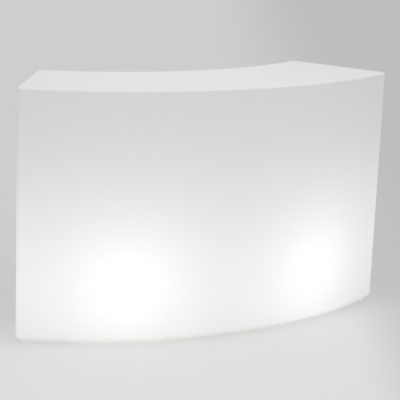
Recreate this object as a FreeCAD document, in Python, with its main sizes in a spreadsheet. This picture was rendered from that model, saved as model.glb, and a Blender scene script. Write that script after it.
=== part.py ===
import FreeCAD, Part
import math
import os
import Sketcher

# A curved bar counter, moulded in one piece as a closed double skin of translucent plastic. It is a
# sixth of a ring: the customers stand round the outside, the bartender inside it. The open side holds
# two bays with two lift-out shelves each, and two lamps stand in the hollow between the skins.
#
# Frame: +Z up, floor at z = 0, the customers' side faces -Y and the bays open towards +Y. The origin
# lies on the floor in the middle of the counter's box. Every round form shares one upright axis, the
# centre of the arc, and the pieces are placed by their radius and angle about it.

document = FreeCAD.newDocument("bar_counter")
sheet = document.addObject("Spreadsheet::Sheet", "Sizes")
nodes = []


def size(name, number, note):
    """Put one driving dimension, in millimetres or degrees, on the next row of the sheet."""
    row = len(sheet.getUsedCells()) // 3 + 1
    sheet.set("A%d" % row, name)
    sheet.set("B%d" % row, str(number))
    sheet.set("C%d" % row, note)
    sheet.setAlias("B%d" % row, name)


size("height", 1100, "worktop above the floor")
size("front_radius", 1800, "customers' face, from the centre of the arc")
size("back_radius", 1300, "operator's face")
size("half_angle", 30, "middle of the counter to either end")
size("wall", 6, "thickness of the moulded skin")
size("floor_gap", 5, "skin's underside above the floor")
size("foot_edge_round", 28, "round along the foot of the counter")
size("upright_round", 20, "round on the four upright corners")
size("worktop_round", 8, "round along the worktop's edge")

size("bay_inner", 62, "bay's wall beside the middle post, at the rear plane")
size("bay_outer", 584, "bay's wall beside the end post, at the rear plane")
size("bay_rear_radius", 1625, "curved rear wall of the bays")
size("bay_floor", 130, "floor of the bays")
size("bay_ceiling", 1000, "ceiling of the bays")
size("bay_corner_round", 40, "upright rear corners of a bay")
size("bay_level_round", 25, "a bay's corners along its floor and ceiling")
size("mouth_round", 12, "lip round a bay's mouth")
size("mould_draft", 1, "taper of a bay's side walls, in degrees")

size("lower_shelf", 460, "underside of the lower shelf")
size("upper_shelf", 730, "underside of the upper shelf")
size("shelf_thickness", 10, "solid laminate board")
size("shelf_bevel", 1, "broken edges of the shelves")
size("shelf_setback", 9, "shelf's front edge behind the bay's mouth")
size("shelf_gap", 3, "shelf's edge to the bottom of its groove")
size("groove_depth", 14, "depth of the shelf grooves")
size("groove_height", 16, "height of the shelf grooves")

size("lamp_angle", 15, "lamps, from the middle of the counter")
size("lamp_radius", 1690, "lamps, from the centre of the arc")
size("well_mouth", 70, "radius of a lamp well at the floor")
size("well_top", 66, "radius of a lamp well at its ceiling")
size("well_ceiling", 85, "ceiling of a lamp well")
size("lamp_opening", 50, "radius of the opening for a lamp")
size("flange_height", 14, "thickness of the skin round that opening")
size("channel_width", 16, "cable channel in the underside")
size("channel_height", 14, "cable channel's depth")

size("foot_angle", 24, "outer feet, from the middle")
size("front_foot_radius", 1728, "front row of feet")
size("rear_foot_radius", 1370, "rear row of feet")
size("recess_radius", 31, "recess over a foot")
size("recess_height", 12, "depth of that recess")
size("recess_round", 3, "mouths of the recesses and wells")
size("pad_radius", 25, "foot pad")
size("pad_height", 10, "foot pad")
size("pad_foot_round", 2, "pad's edge on the floor")
size("pad_rim_round", 4, "pad's upper rim")
size("pad_hub", 13, "radius of the pad's raised middle")
size("socket_low", 4, "floor of the pad's socket")
size("socket_top", 8, "ceiling of the pad's socket")
size("collar_radius", 7, "stem's collar in the socket")
size("stem_radius", 5, "M10 thread")
size("running_gap", 0.05, "play between a foot's stem and what it turns in")
size("stem_clearance", 2, "stem's end below the top of its insert")
size("thread_chamfer", 1, "stem's broken end")
size("foot_spanner", 14, "stem's hexagon, across its flats")
size("foot_spanner_level", 11, "underside of the hexagon")
size("foot_spanner_height", 5, "height of the hexagon")
size("foot_insert_radius", 8, "outside of the brass insert")
size("foot_insert_waist", 1.2, "depth of the insert's keying groove")
size("foot_insert_length", 25, "length of the brass insert")
size("foot_insert_cap", 1.5, "thickness of the insert's closed end")

size("cover_radius", 64, "lamp cover")
size("cover_thickness", 4, "lamp cover")
size("cover_edge_round", 1, "cover's lower edge")
size("cover_ring_height", 8, "ring that centres the cover in the opening")
size("cover_ring_play", 1, "that ring inside the opening")
size("cover_ring_wall", 2.5, "thickness of that ring")
size("gasket_thickness", 2, "seal under the cover")
size("gasket_play", 0.5, "seal's edge outside the opening")
size("screw_circle", 57.5, "cover screws, from the lamp's axis")
size("screw_radius", 2.45, "M5 thread")
size("screw_hole", 2.75, "holes for those screws")
size("screw_length", 14, "below the head")
size("cover_insert_radius", 3.5, "outside of a cover insert")
size("cover_insert_length", 9.5, "length of a cover insert")
size("bracket_height", 67.5, "lamp holder's seat above the cover")
size("bracket_width", 24, "strap of the bracket")
size("bracket_reach", 38, "half of the bracket's length")
size("bracket_leg", 18, "bracket's leg from its middle")
size("strap_thickness", 1.5, "steel strap")
size("bracket_screw", 28, "bracket screws from its middle")
size("bolt_radius", 1.95, "M4 thread of the bracket screws")
size("bolt_hole", 2, "holes for the bracket screws")
size("bolt_length", 9, "below the head")
size("screw_chamfer", 0.5, "broken end of every screw")
size("pan_width", 1.9, "radius of a pan head over its thread's")
size("pan_height", 1.2, "height of a pan head, and radius of its flat, over its thread's radius")
size("pan_crown", 1.1, "round of a pan head over its thread's radius")
size("pan_rim", 0.5, "upright rim of a pan head over its thread's radius")
size("holder_foot", 18, "radius of the lamp holder at its foot")
size("holder_waist", 19, "its radius below the skirt")
size("holder_skirt", 21.5, "its radius round the bulb's cap")
size("waist_level", 14, "top of the waist, from the holder's foot")
size("skirt_level", 16, "foot of the skirt")
size("holder_height", 54, "lamp holder")
size("holder_round", 3, "upper edge of the skirt")
size("holder_floor", 5, "thickness of the holder's floor")
size("nipple_radius", 5, "M10 hollow bolt of the holder")
size("nipple_bore", 3.5, "way for the wires")
size("nipple_spanner", 14, "its head, across the flats")
size("nipple_head", 3, "height of its head")
size("block_low", 9, "ceramic block, from the holder's foot")
size("block_top", 16, "ceramic block's top")
size("contact_radius", 5, "middle contact")
size("rivet_radius", 3, "rivet that holds the contact in the block")
size("rivet_recess", 0.5, "rivet's end inside the block's underside")
size("contact_top", 26.5, "middle contact, where it meets the bulb")
size("thread_level", 34, "threaded ring, from the holder's foot")
size("thread_height", 16, "threaded ring")
size("thread_wall", 0.8, "brass of the threaded ring")
size("cap_play", 0.1, "play between the ring and the bulb's cap")
size("bulb_level", 260, "middle of the globe above the floor")
size("bulb_radius", 47.5, "globe")
size("bulb_wall", 1.5, "thickness of the globe")
size("cap_radius", 13.2, "screw cap of the bulb")
size("cap_height", 27, "screw cap of the bulb")
size("cap_shoulder", 6, "foot of the cap's thread")
size("glass_radius", 9.24, "glass ring round the button")
size("glass_level", 2.5, "glass ring above the button's face")
size("button_height", 1.5, "contact button")
size("button_round", 0.5, "slope of the button's edge")
size("neck_skirt", 13.4, "foot of the bulb's neck, round the cap")
size("neck_skirt_height", 6, "straight foot of the bulb's neck")
size("neck_radius", 19.5, "neck of the globe")
size("gland_offset", 27, "cable gland behind the lamp's axis")
size("gland_radius", 8, "M16 thread")
size("gland_spanner", 22, "collar and nut, across their flats")
size("gland_low", 17, "gland's thread below the cover's underside")
size("gland_top", 13, "gland's thread above the cover's underside")
size("gland_bore", 4.5, "way for a cable through the gland")
size("collar_height", 5, "gland's collar")
size("collar_overlap", 1, "collar's hold in the wall of the gland")
size("nut_height", 5, "gland's lock nut")
size("seal_radius", 6.1, "outside of the rubber sleeve")
size("seal_length", 12, "rubber sleeve")
size("seal_proud", 2, "sleeve below the end of the gland's thread")
size("seal_play", 0.1, "play round the sleeve")
size("dome_gap", 0.5, "between the collar and the domed nut")
size("dome_wall", 3, "domed nut round the thread")
size("dome_play", 1, "domed nut's shoulder below the thread")
size("dome_length", 8, "domed nut below the thread")
size("dome_spanner_height", 7, "hexagon of the domed nut")
size("dome_round", 9, "round of the dome")
size("dome_lip", 1.5, "flat round the dome's mouth")
size("dome_step", 1.2, "step above the cone that presses the sleeve")
size("dome_cone", 4, "foot of that cone below the shoulder")
size("stopper_radius", 3.5, "stopper in the sleeve, where a cable would go")
size("stopper_head", 5.5, "radius of its head")
size("stopper_head_height", 2.5, "height of its head")
size("stopper_round", 1, "edge of its head")
size("stopper_end", 4, "its straight part below the top of the sleeve")
size("stopper_tip", 3, "its tip below the top of the sleeve")


def value(text):
    """The number that an expression on the sheet comes to."""
    return float(sheet.evalExpression(text))


def find_arc_centre():
    """Half of the counter's depth, from the apex of its front to the rounds of its rear corners."""
    corner = value("Sizes.back_radius + Sizes.upright_round")
    lean = math.radians(value("Sizes.half_angle"))
    lean = lean - math.asin(value("Sizes.upright_round") / corner)
    rear = corner * math.cos(lean) - value("Sizes.upright_round")
    return (value("Sizes.front_radius") + rear) / 2


document.recompute()
size("arc_centre", round(find_arc_centre(), 3), "centre of the arc behind the origin")
document.recompute()


# ---- Drawing and joining -----------------------------------------------------------------------

def bind(piece, **expressions):
    """Bind a piece's sizes to the sheet; x, y and z stand for its place."""
    for name, text in expressions.items():
        path = ".Placement.Base." + name if name in "xyz" else name
        piece.setExpression(path, text)
    return piece


def primitive(kind, name, **expressions):
    """A box, cylinder, cone or wedge with its sizes on the sheet."""
    return bind(document.addObject("Part::" + kind, name), **expressions)


def boolean(kind, name, base, tool):
    """The cut or the common part of two solids."""
    result = document.addObject("Part::" + kind, name)
    result.Base = base
    result.Tool = tool
    return result


def fused(name, shapes):
    """Several solids as one."""
    result = document.addObject("Part::MultiFuse", name)
    result.Shapes = shapes
    return result


def mirrored(name, source):
    """The same piece on the other side of the middle plane."""
    result = document.addObject("Part::Mirroring", name)
    result.Source = source
    result.Normal = FreeCAD.Vector(1, 0, 0)
    return result


def rounded(name, base, radius_of):
    """Round the edges for which radius_of gives a radius."""
    document.recompute()
    result = document.addObject("Part::Fillet", name)
    result.Base = base
    chosen = []
    for number, edge in enumerate(base.Shape.Edges, 1):
        radius = radius_of(edge)
        if radius:
            chosen.append((number, radius, radius))
    result.Edges = chosen
    document.recompute()
    return result


def node(piece, label):
    """Name a finished sub-part; the name is also its file's."""
    piece.Label = label
    nodes.append(piece)
    return piece


def on_arc(piece, radius, angle, level):
    """Stand a piece at a radius and an angle about the arc's centre, and at a height."""
    return bind(
        piece,
        x="%s * sin(%s)" % (radius, angle),
        y="Sizes.arc_centre - %s * cos(%s)" % (radius, angle),
        z=level,
    )


def sketch_on(body, plane, level="0"):
    """A sketch on one of the body's own planes, lifted along its normal."""
    sketch = body.newObject("Sketcher::SketchObject", body.Name + "_sketch")
    support = [item for item in body.Origin.OriginFeatures if item.Role == plane][0]
    sketch.AttachmentSupport = (support, "")
    sketch.MapMode = "FlatFace"
    sketch.setExpression(".AttachmentOffset.Base.z", level)
    return sketch


def ends(corner):
    """The point numbers at which the edge from this corner starts and ends.

    The sketcher runs every arc anticlockwise, so one that bulges to the left is the other way round.
    """
    if len(corner) == 3 and value(corner[2]) < 0:
        return 2, 1
    return 1, 2


def edge_between(corner, start, end):
    """A straight edge, or an arc that bulges to the right where its radius is positive."""
    if len(corner) == 2:
        return Part.LineSegment(start, end)
    radius = value(corner[2])
    chord = end - start
    rise = abs(radius) - math.sqrt(radius ** 2 - chord.Length ** 2 / 4)
    side = FreeCAD.Vector(chord.y, -chord.x, 0).normalize() * math.copysign(rise, radius)
    return Part.Arc(start, (start + end) / 2 + side, end)


def bound(sketch, kind, text, *places):
    """A dimension that follows the sheet."""
    index = sketch.addConstraint(Sketcher.Constraint(kind, *places, value(text)))
    sketch.setExpression("Constraints[%d]" % index, text)


def outline(sketch, corners):
    """A closed outline with every corner bound to the sheet.

    A corner is (across, up), or (across, up, radius) where an arc leads on to the next corner.
    """
    points = [FreeCAD.Vector(value(corner[0]), value(corner[1]), 0) for corner in corners]
    first = sketch.GeometryCount
    for number, corner in enumerate(corners):
        following = (number + 1) % len(corners)
        sketch.addGeometry(edge_between(corner, points[number], points[following]), False)
    for number, corner in enumerate(corners):
        following = (number + 1) % len(corners)
        edge = first + number
        start, end = ends(corner)
        meets = (first + following, ends(corners[following])[0])
        sketch.addConstraint(Sketcher.Constraint("Coincident", edge, end, *meets))
        for kind, text, axis in (("DistanceX", corner[0], -2), ("DistanceY", corner[1], -1)):
            if abs(value(text)) < 1e-9:
                sketch.addConstraint(Sketcher.Constraint("PointOnObject", edge, start, axis))
            else:
                bound(sketch, kind, text, -1, 1, edge, start)
        if len(corner) == 3:
            bound(sketch, "Radius", "abs(%s)" % corner[2], edge)


def circle(sketch, across, up, radius):
    """A circle in a sketch, bound to the sheet."""
    centre = FreeCAD.Vector(value(across), value(up), 0)
    edge = sketch.addGeometry(Part.Circle(centre, FreeCAD.Vector(0, 0, 1), value(radius)), False)
    for kind, text, axis in (("DistanceX", across, -2), ("DistanceY", up, -1)):
        if abs(value(text)) < 1e-9:
            sketch.addConstraint(Sketcher.Constraint("PointOnObject", edge, 3, axis))
        else:
            bound(sketch, kind, text, -1, 1, edge, 3)
    bound(sketch, "Radius", radius, edge)


def hexagon(sketch, across_flats):
    """A hexagon round the sketch's origin, with two corners on its X axis."""
    corner = "%s / sqrt(3)" % across_flats
    turns = [(corner + " * cos(%d)" % turn, corner + " * sin(%d)" % turn) for turn in range(0, 360, 60)]
    outline(sketch, turns)


def new_body(name):
    return document.addObject("PartDesign::Body", name)


def turned(name, *profile):
    """A round piece: its profile's corners are (radius, height), revolved about Z."""
    body = new_body(name)
    sketch = sketch_on(body, "XZ_Plane")
    outline(sketch, profile)
    turn = body.newObject("PartDesign::Revolution", name + "_turn")
    turn.Profile = sketch
    turn.ReferenceAxis = (sketch, ["V_Axis"])
    turn.Angle = 360
    return body


def pad(body, sketch, thickness):
    """Thicken a sketch upwards."""
    result = body.newObject("PartDesign::Pad", body.Name + "_pad")
    result.Profile = sketch
    result.setExpression("Length", thickness)
    return result


def pocket(body, sketch, draw, both_ways=False):
    """Cut a sketch right through the body, and make sure that it did cut."""
    document.recompute()
    before = body.Shape.Volume
    draw(sketch)
    result = body.newObject("PartDesign::Pocket", body.Name + "_pocket")
    result.Profile = sketch
    result.Type = "ThroughAll"
    result.Midplane = both_ways
    document.recompute()
    if not result.Shape.Volume < before:
        raise ValueError(body.Name + ": the pocket cuts nothing")
    return result


def four_times(body, feature):
    """Repeat a feature four times about Z."""
    result = body.newObject("PartDesign::PolarPattern", body.Name + "_pattern")
    axis = [item for item in body.Origin.OriginFeatures if item.Role == "Z_Axis"][0]
    result.Originals = [feature]
    result.Axis = (axis, [""])
    result.Angle = 360
    result.Occurrences = 4
    body.Tip = result
    return result


def group(name, pieces):
    """Like pieces that share one node, each a solid of its own."""
    result = document.addObject("Part::Compound", name)
    result.Links = pieces
    return result


# ---- The moulded shell -------------------------------------------------------------------------
# The outer skin and the hollow inside it are both built by the same functions. Every face of the
# hollow lies one wall's thickness inside the skin, so the functions take the distance by which a
# form is moved in from the skin, and the recesses in it are that much wider.

def sector(name, inset):
    """The plan between the two arcs and the two ends, over the full height."""
    rise = {
        "Height": "Sizes.height - Sizes.floor_gap - 2 * (%s)" % inset,
        "z": "Sizes.floor_gap + %s" % inset,
    }
    front = primitive("Cylinder", name + "_front", Radius="Sizes.front_radius - (%s)" % inset, **rise)
    back = primitive("Cylinder", name + "_back", Radius="Sizes.back_radius + %s" % inset, **rise)
    wedge = primitive(
        "Cylinder",
        name + "_wedge",
        Radius="2 * Sizes.front_radius",
        Angle="2 * Sizes.half_angle",
        y="-(%s) / sin(Sizes.half_angle)" % inset,
        **rise,
    )
    wedge.setExpression(".Placement.Rotation.Angle", "-(90 + Sizes.half_angle)")
    ring = boolean("Cut", name + "_ring", front, back)
    return boolean("Common", name, ring, wedge)


def bay(name, spread, floor, ceiling):
    """The right-hand bay's plan, spread by a distance, between two levels.

    Its side walls taper towards the curved rear wall, so the bay leaves the mould along +Y.
    """
    length = "(Sizes.bay_rear_radius - 0.5 * Sizes.back_radius)"
    flare = length + " * tan(Sizes.mould_draft)"
    block = primitive(
        "Wedge",
        name + "_block",
        Xmin="Sizes.bay_inner - (%s)" % spread,
        Xmax="Sizes.bay_outer + %s" % spread,
        X2min="Sizes.bay_inner - (%s) - %s" % (spread, flare),
        X2max="Sizes.bay_outer + %s + %s" % (spread, flare),
        Ymin="-(Sizes.bay_rear_radius + %s)" % spread,
        Ymax="-0.5 * Sizes.back_radius",
        Zmin=floor,
        Z2min=floor,
        Zmax=ceiling,
        Z2max=ceiling,
    )
    arc = primitive(
        "Cylinder",
        name + "_arc",
        Radius="Sizes.bay_rear_radius + %s" % spread,
        Height="Sizes.height",
    )
    return boolean("Common", name, block, arc)


def groove(name, spread, floor, ceiling):
    """A bay's plan with its two upright rear corners rounded about the bay's own corner."""
    radius = value("Sizes.bay_corner_round + %s" % spread)
    half_way = value("(Sizes.back_radius + Sizes.bay_rear_radius) / 2")

    def upright(edge):
        middle = edge.CenterOfMass
        deep = math.hypot(middle.x, middle.y) > half_way
        return radius if edge.BoundBox.ZLength > 1 and deep else None

    return rounded(name, bay(name + "_plan", spread, floor, ceiling), upright)


def moulded_corners(inset):
    """The moulding's rounds: outer ones are smaller inside the skin, and inner ones larger."""
    low = value("Sizes.floor_gap + %s" % inset)
    high = value("Sizes.height - (%s)" % inset)
    mouth = value("Sizes.back_radius + %s + 2" % inset)
    inset = value(inset)

    def radius_of(edge):
        box = edge.BoundBox
        middle = edge.CenterOfMass
        if box.ZMax < low + 1:
            return value("Sizes.foot_edge_round") - inset
        if box.ZMin > high - 1:
            return value("Sizes.worktop_round") - inset
        if box.ZLength > 0.9 * (high - low):
            return value("Sizes.upright_round") - inset
        if math.hypot(middle.x, middle.y) < mouth:
            return value("Sizes.mouth_round") - inset
        if box.ZLength > 0.5 * (high - low):
            return value("Sizes.bay_corner_round") + inset
        return value("Sizes.bay_level_round") + inset

    return radius_of


def skin(name, inset):
    """The counter's block with both bays, all rounded, every face moved in by inset."""
    floor = "Sizes.bay_floor - (%s)" % inset
    ceiling = "Sizes.bay_ceiling + %s" % inset
    right = bay(name + "_bay", inset, floor, ceiling)
    bays = fused(name + "_bays", [right, mirrored(name + "_left_bay", right)])
    block = boolean("Cut", name + "_block", sector(name + "_sector", inset), bays)
    return rounded(name + "_rounded", block, moulded_corners(inset))


def right_recesses(name, spread, flange):
    """The right-hand grooves, lamp well, cable channel and outer foot recesses."""
    shapes = []
    for level in ("lower", "upper"):
        shapes.append(groove(
            "%s_%s_groove" % (name, level),
            "Sizes.groove_depth + %s" % spread,
            "Sizes.%s_shelf - (%s)" % (level, spread),
            "Sizes.%s_shelf + Sizes.groove_height + %s" % (level, spread),
        ))
    shapes.append(primitive(
        "Cone",
        name + "_well",
        Radius1="Sizes.well_mouth + %s" % spread,
        Radius2="Sizes.well_top + %s" % spread,
        Height="Sizes.well_ceiling + %s" % flange,
        x=LAMP_X,
        y=LAMP_Y,
    ))
    shapes.append(primitive(
        "Box",
        name + "_channel",
        Length="Sizes.channel_width + 2 * (%s)" % spread,
        Width="Sizes.lamp_radius - 0.9 * Sizes.back_radius",
        Height="Sizes.floor_gap + Sizes.channel_height + %s" % spread,
        x="%s - Sizes.channel_width / 2 - (%s)" % (LAMP_X, spread),
        y=LAMP_Y,
    ))
    for row in ("front", "rear"):
        radius = "Sizes.%s_foot_radius" % row
        shapes.append(foot_recess("%s_%s_foot" % (name, row), radius, "Sizes.foot_angle", spread))
    return shapes


def foot_recess(name, radius, angle, spread):
    """The round recess in the underside over one foot."""
    return primitive(
        "Cylinder",
        name,
        Radius="Sizes.recess_radius + %s" % spread,
        Height="Sizes.floor_gap + Sizes.recess_height + %s" % spread,
        x="%s * sin(%s)" % (radius, angle),
        y="-%s * cos(%s)" % (radius, angle),
    )


def recesses(name, spread, flange):
    """Everything that is let into the block, on both sides."""
    shapes = right_recesses(name, spread, flange)
    shapes += [mirrored(shape.Name + "_left", shape) for shape in shapes]
    for row in ("front", "rear"):
        label = "%s_%s_middle_foot" % (name, row)
        shapes.append(foot_recess(label, "Sizes.%s_foot_radius" % row, "0", spread))
    return shapes


def foot_seats(name, radius, length, lift="0"):
    """Upright cylinders over the six feet, for the inserts and the plastic round them."""
    seats = []
    for place, row_radius, angle in feet:
        seats.append(primitive(
            "Cylinder",
            "%s_%s" % (name, place),
            Radius=radius,
            Height=length,
            x="%s * sin(%s)" % (row_radius, angle),
            y="-%s * cos(%s)" % (row_radius, angle),
            z="%s + %s" % (RECESS_TOP, lift),
        ))
    return seats


def cover_seats(name):
    """The four holes round the right-hand lamp opening that take the inserts of its cover."""
    seats = []
    for number in range(4):
        turn = 45 + 90 * number
        seats.append(primitive(
            "Cylinder",
            "%s_%d" % (name, number),
            Radius="Sizes.cover_insert_radius",
            Height="Sizes.cover_insert_length",
            x="%s + Sizes.screw_circle * cos(%d)" % (LAMP_X, turn),
            y="%s + Sizes.screw_circle * sin(%d)" % (LAMP_Y, turn),
            z="Sizes.well_ceiling",
        ))
    return seats


LAMP_X = "Sizes.lamp_radius * sin(Sizes.lamp_angle)"
LAMP_Y = "-Sizes.lamp_radius * cos(Sizes.lamp_angle)"
RECESS_TOP = "Sizes.floor_gap + Sizes.recess_height"

feet = []
for row in ("front", "rear"):
    for place, angle in (("left", "-Sizes.foot_angle"), ("middle", "0"), ("right", "Sizes.foot_angle")):
        feet.append(("%s_%s" % (row, place), "Sizes.%s_foot_radius" % row, angle))


def recess_mouth(edge):
    """The small round where a lamp well or a foot recess meets the underside."""
    low = edge.BoundBox.ZMax < value("Sizes.floor_gap") + 0.01
    if low and edge.Curve.TypeId == "Part::GeomCircle" and edge.Curve.Radius < value("Sizes.well_mouth") + 1:
        return value("Sizes.recess_round")
    return None


def counter_shell():
    """The outer skin less the hollow, less the seats of the inserts and the two lamp openings."""
    tools = fused("outer_tools", recesses("outer", "0", "0"))
    outside = boolean("Cut", "outside", skin("outer", "0"), tools)
    outside = rounded("outside_rounded", outside, recess_mouth)
    kept = recesses("hollow", "Sizes.wall", "Sizes.flange_height")
    kept += foot_seats(
        "foot_boss",
        "Sizes.foot_insert_radius + Sizes.wall",
        "Sizes.foot_insert_length + Sizes.wall",
    )
    hollow = boolean("Cut", "hollow", skin("inner", "Sizes.wall"), fused("hollow_tools", kept))
    walls = boolean("Cut", "walls", outside, hollow)
    waist = "Sizes.foot_insert_radius - Sizes.foot_insert_waist"
    third = "Sizes.foot_insert_length / 3"
    holes = foot_seats("foot_waist", waist, "Sizes.foot_insert_length")
    holes += foot_seats("foot_collar", "Sizes.foot_insert_radius", third)
    holes += foot_seats("foot_shoulder", "Sizes.foot_insert_radius", third, "2 * " + third)
    lamp_holes = cover_seats("cover_seat")
    lamp_holes.append(primitive(
        "Cylinder",
        "opening",
        Radius="Sizes.lamp_opening",
        Height="2 * Sizes.well_ceiling",
        x=LAMP_X,
        y=LAMP_Y,
    ))
    holes += lamp_holes + [mirrored(hole.Name + "_left", hole) for hole in lamp_holes]
    shell = boolean("Cut", "counter_shell", walls, fused("holes", holes))
    bind(shell, y="Sizes.arc_centre")
    node(shell, "counter_shell")


counter_shell()


# ---- Shelves -----------------------------------------------------------------------------------

def bevelled(name, board, bevel):
    """Break the edges round both faces of a level board."""
    document.recompute()
    result = document.addObject("Part::Chamfer", name)
    result.Base = board
    size_of = value(bevel)
    edges = enumerate(board.Shape.Edges, 1)
    result.Edges = [(number, size_of, size_of) for number, edge in edges if edge.BoundBox.ZLength < 0.01]
    return result


def shelves():
    """Laminate boards that rest in the grooves on three sides and slide out towards +Y."""
    spread = "Sizes.groove_depth - Sizes.shelf_gap"
    for level in ("lower", "upper"):
        underside = "Sizes.%s_shelf" % level
        board = groove(level + "_board", spread, underside, underside + " + Sizes.shelf_thickness")
        front = primitive(
            "Cylinder",
            level + "_front_edge",
            Radius="Sizes.back_radius + Sizes.shelf_setback",
            Height="Sizes.height",
        )
        for side, blank in (("left", mirrored(level + "_left_board", board)), ("right", board)):
            shelf = boolean("Cut", "%s_%s_board" % (side, level), blank, front)
            shelf = bevelled("%s_%s_shelf" % (side, level), shelf, "Sizes.shelf_bevel")
            node(bind(shelf, y="Sizes.arc_centre"), "shelf_%s_%s" % (side, level))


shelves()


# ---- Levelling feet ----------------------------------------------------------------------------
# A stem with a round collar turns in each pad and screws into a brass insert in the moulding.

def foot_pad(name):
    """A moulded nylon pad with a rounded rim and a stepped socket for the stem's collar."""
    outside = "Sizes.pad_radius"
    foot_round = "Sizes.pad_foot_round"
    rim_round = "Sizes.pad_rim_round"
    seat = "Sizes.collar_radius + Sizes.running_gap"
    neck = "Sizes.stem_radius + Sizes.running_gap"
    return turned(
        name,
        ("0", "0"),
        ("%s - %s" % (outside, foot_round), "0", foot_round),
        (outside, foot_round),
        (outside, rim_round, rim_round),
        ("%s - %s" % (outside, rim_round), "2 * " + rim_round),
        ("Sizes.pad_hub", "Sizes.pad_height"),
        (neck, "Sizes.pad_height"),
        (neck, "Sizes.socket_top"),
        (seat, "Sizes.socket_top"),
        (seat, "Sizes.socket_low"),
        ("0", "Sizes.socket_low"),
    )


def foot_stem(name):
    """An M10 stem: collar in the pad, hexagon for a spanner, thread up into the insert."""
    top = RECESS_TOP + " + Sizes.foot_insert_length - Sizes.stem_clearance"
    low = "Sizes.socket_low + Sizes.running_gap"
    neck = "Sizes.socket_top - Sizes.running_gap"
    body = turned(
        name,
        ("0", low),
        ("Sizes.collar_radius", low),
        ("Sizes.collar_radius", neck),
        ("Sizes.stem_radius", neck),
        ("Sizes.stem_radius", top + " - Sizes.thread_chamfer"),
        ("Sizes.stem_radius - Sizes.thread_chamfer", top),
        ("0", top),
    )
    spanner = sketch_on(body, "XY_Plane", "Sizes.foot_spanner_level")
    hexagon(spanner, "Sizes.foot_spanner")
    pad(body, spanner, "Sizes.foot_spanner_height")
    return body


def foot_insert(name):
    """A brass insert whose waist keys it into the plastic; its bore stops short of its top."""
    outside = "Sizes.foot_insert_radius"
    waist = "Sizes.foot_insert_radius - Sizes.foot_insert_waist"
    bore = "Sizes.stem_radius + Sizes.running_gap"
    length = "Sizes.foot_insert_length"
    return turned(
        name,
        (bore, "0"),
        (outside, "0"),
        (outside, length + " / 3"),
        (waist, length + " / 3"),
        (waist, "2 * %s / 3" % length),
        (outside, "2 * %s / 3" % length),
        (outside, length),
        ("0", length),
        ("0", length + " - Sizes.foot_insert_cap"),
        (bore, length + " - Sizes.foot_insert_cap"),
    )


def levelling_feet():
    """Six feet, each with its pad, its stem and its insert in the moulding."""
    inserts = []
    for place, radius, angle in feet:
        node(on_arc(foot_pad("pad_" + place), radius, angle, "0"), "foot_pad_" + place)
        node(on_arc(foot_stem("stem_" + place), radius, angle, "0"), "foot_stem_" + place)
        inserts.append(on_arc(foot_insert("insert_" + place), radius, angle, RECESS_TOP))
    node(group("foot_inserts_group", inserts), "foot_inserts")


levelling_feet()


# ---- Lamps -------------------------------------------------------------------------------------
# Each lamp goes in from below: the cover with its seal closes the opening, and carries the bracket,
# the holder, the bulb and the cable gland.

COVER_LOW = "Sizes.well_ceiling - Sizes.gasket_thickness - Sizes.cover_thickness"
COVER_TOP = "Sizes.well_ceiling - Sizes.gasket_thickness"
HOLDER_LOW = COVER_TOP + " + Sizes.bracket_height"
HOLDER_BORE = "Sizes.cap_radius + Sizes.cap_play + Sizes.thread_wall"
CAP_LOW = HOLDER_LOW + " + Sizes.contact_top"
NECK_LEVEL = "Sizes.bulb_level - sqrt(Sizes.bulb_radius ^ 2 - Sizes.neck_radius ^ 2)"


def screw_holes(body):
    """The four holes for the cover's screws."""
    across = "Sizes.screw_circle / sqrt(2)"
    hole = pocket(
        body,
        sketch_on(body, "XY_Plane"),
        lambda sketch: circle(sketch, across, across, "Sizes.screw_hole"),
        both_ways=True,
    )
    four_times(body, hole)


def lamp_cover(name):
    """A moulded disc with a ring that centres it in the opening."""
    top = "Sizes.cover_thickness"
    ring_top = top + " + Sizes.cover_ring_height"
    rim = "Sizes.lamp_opening - Sizes.cover_ring_play"
    inside = rim + " - Sizes.cover_ring_wall"
    body = turned(
        name,
        ("0", "0"),
        ("Sizes.cover_radius - Sizes.cover_edge_round", "0", "Sizes.cover_edge_round"),
        ("Sizes.cover_radius", "Sizes.cover_edge_round"),
        ("Sizes.cover_radius", top),
        (rim, top),
        (rim, ring_top),
        (inside, ring_top),
        (inside, top),
        ("0", top),
    )
    screw_holes(body)

    def openings(sketch):
        circle(sketch, "0", "Sizes.gland_offset", "Sizes.gland_radius")
        circle(sketch, "Sizes.bracket_screw", "0", "Sizes.bolt_hole")
        circle(sketch, "-Sizes.bracket_screw", "0", "Sizes.bolt_hole")

    pocket(body, sketch_on(body, "XY_Plane"), openings, both_ways=True)
    return body


def cover_gasket(name):
    """A flat rubber ring between the cover and the moulding."""
    body = new_body(name)
    ring = sketch_on(body, "XY_Plane")
    circle(ring, "0", "0", "Sizes.cover_radius")
    circle(ring, "0", "0", "Sizes.lamp_opening + Sizes.gasket_play")
    pad(body, ring, "Sizes.gasket_thickness")
    screw_holes(body)
    return body


def pan_screw(name, radius, length):
    """A pan-head screw, head downwards, its shank from the head's seat at 0 up to its length."""
    head = "Sizes.pan_width * " + radius
    flat = "Sizes.pan_height * " + radius
    return turned(
        name,
        ("0", "-" + flat),
        (flat, "-" + flat, "Sizes.pan_crown * " + radius),
        (head, "-Sizes.pan_rim * " + radius),
        (head, "0"),
        (radius, "0"),
        (radius, length + " - Sizes.screw_chamfer"),
        (radius + " - Sizes.screw_chamfer", length),
        ("0", length),
    )


def cover_insert(name):
    """A brass sleeve, open at both ends."""
    body = new_body(name)
    ring = sketch_on(body, "XY_Plane")
    circle(ring, "0", "0", "Sizes.cover_insert_radius")
    circle(ring, "0", "0", "Sizes.screw_radius + Sizes.running_gap")
    pad(body, ring, "Sizes.cover_insert_length")
    return body


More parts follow.
